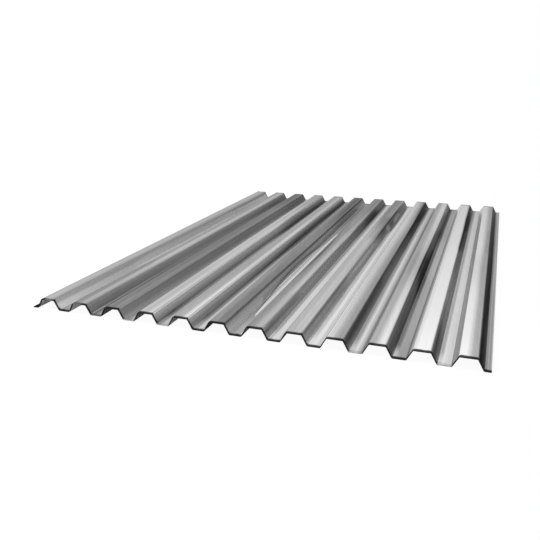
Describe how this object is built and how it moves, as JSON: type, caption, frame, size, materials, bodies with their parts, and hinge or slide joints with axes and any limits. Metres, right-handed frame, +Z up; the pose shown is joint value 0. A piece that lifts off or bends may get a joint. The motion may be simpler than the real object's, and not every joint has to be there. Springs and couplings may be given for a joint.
{
  "type": "trapezoidal corrugated metal sheet",
  "caption": "Galvanised steel sheet rolled lengthwise into flat-topped trapezoidal ribs, cut square, for roofing, cladding, decking or fencing.",
  "frame": {"origin": "middle of the underside, on the floor plane that the valleys lie on", "axes": "+X across the ribs, +Y along the ribs, +Z up from the valleys to the crests"},
  "size_m": [0.96, 1.35, 0.023],
  "materials": {
    "galvanised_steel": "bright galvanised, satin, with lengthwise rolling streaks and dull patches"
  },
  "bodies": {
    "root": {"corrugated_sheet": "galvanised_steel"}
  },
  "joints": []
}
